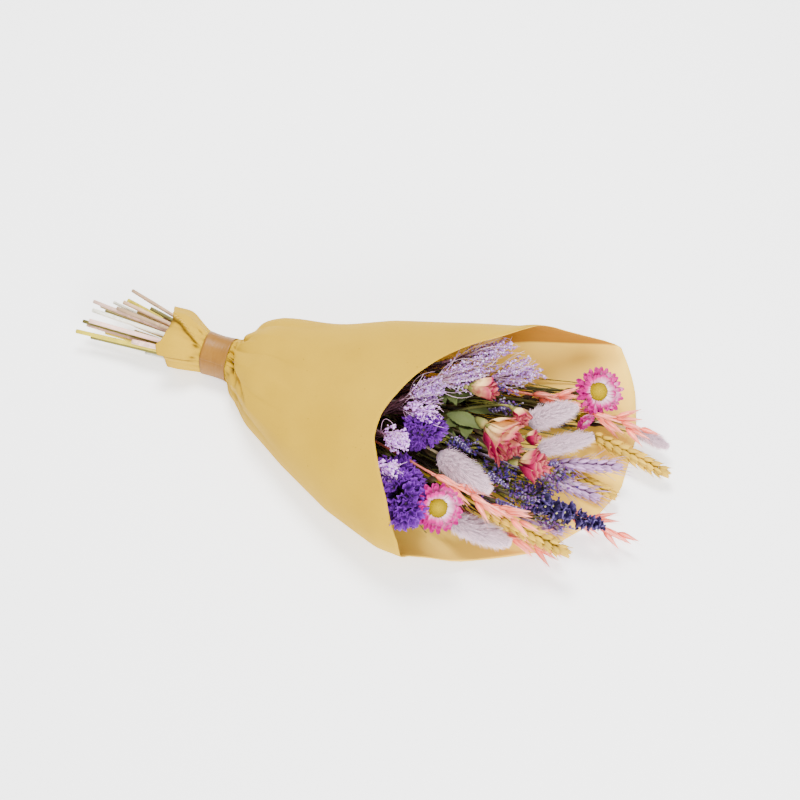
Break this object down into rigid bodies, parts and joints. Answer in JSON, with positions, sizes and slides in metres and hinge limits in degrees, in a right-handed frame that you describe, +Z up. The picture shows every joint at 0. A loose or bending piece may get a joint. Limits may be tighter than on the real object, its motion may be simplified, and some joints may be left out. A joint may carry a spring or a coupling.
{
  "type": "mixed flower bouquet",
  "caption": "Bouquet of dried flowers and grasses lying in a flared kraft paper wrap, taped at the neck with the cut stems standing out behind.",
  "frame": {"origin": "a point on the flat underside of the wrap, under the middle of the paper, on the surface that the bouquet lies on", "axes": "+X along the bouquet from the cut stems to the flower tips, +Z up, +Y across"},
  "size_m": [0.5141, 0.2395, 0.0942],
  "materials": {
    "kraft_paper": "matt kraft paper, lightly creased",
    "paper_tape": "satin brown paper tape",
    "twine": "matt jute twine",
    "rose_petal": "dry matt petals, cream with pink rims",
    "dried_green": "dry matt olive green",
    "daisy_petal": "papery satin, white to pink",
    "daisy_disc": "matt yellow",
    "bunny_down": "soft white down",
    "straw": "satin straw",
    "lilac_straw": "satin straw dyed lilac",
    "pink_straw": "satin straw dyed pink",
    "delphinium_blue": "matt deep blue",
    "statice_purple": "papery purple",
    "lavender": "matt lavender",
    "broom_lilac": "matt lilac",
    "broom_pale": "matt pale lilac"
  },
  "bodies": {
    "root": {"broom_lilac_1": "broom_lilac", "broom_lilac_2": "broom_lilac", "broom_lilac_3": "broom_lilac", "broom_lilac_4": "broom_lilac", "broom_pale_1": "broom_pale", "broom_pale_2": "broom_pale", "broom_pale_3": "broom_pale", "bunny_tail_1": "bunny_down", "bunny_tail_2": "bunny_down", "bunny_tail_3": "bunny_down", "bunny_tail_4": "bunny_down", "bunny_tail_5": "bunny_down", "daisy_1_disc": "daisy_disc", "daisy_1_petals": "daisy_petal", "daisy_1_stem": "dried_green", "daisy_2_disc": "daisy_disc", "daisy_2_petals": "daisy_petal", "daisy_2_stem": "dried_green", "daisy_3_disc": "daisy_disc", "daisy_3_petals": "daisy_petal", "daisy_3_stem": "dried_green", "delphinium_florets": "delphinium_blue", "delphinium_stem": "dried_green", "lavender_1": "lavender", "lavender_2": "lavender", "lavender_3": "lavender", "lavender_4": "lavender", "lavender_5": "lavender", "lavender_6": "lavender", "lilac_wheat_1": "lilac_straw", "lilac_wheat_2": "lilac_straw", "lilac_wheat_3": "lilac_straw", "oat_1": "pink_straw", "oat_2": "pink_straw", "oat_3": "pink_straw", "oat_4": "pink_straw", "oat_5": "pink_straw", "paper_tape": "paper_tape", "paper_wrap": "kraft_paper", "rose_bloom_1": "rose_petal", "rose_bloom_2": "rose_petal", "rose_bloom_3": "rose_petal", "rose_bloom_4": "rose_petal", "rose_bloom_5": "rose_petal", "rose_stem_1": "dried_green", "rose_stem_2": "dried_green", "statice_1_head": "statice_purple", "statice_1_stem": "dried_green", "statice_2_head": "statice_purple", "statice_2_stem": "dried_green", "stem_tie": "twine", "wheat_1": "straw", "wheat_2": "straw", "wheat_3": "straw"}
  },
  "joints": []
}
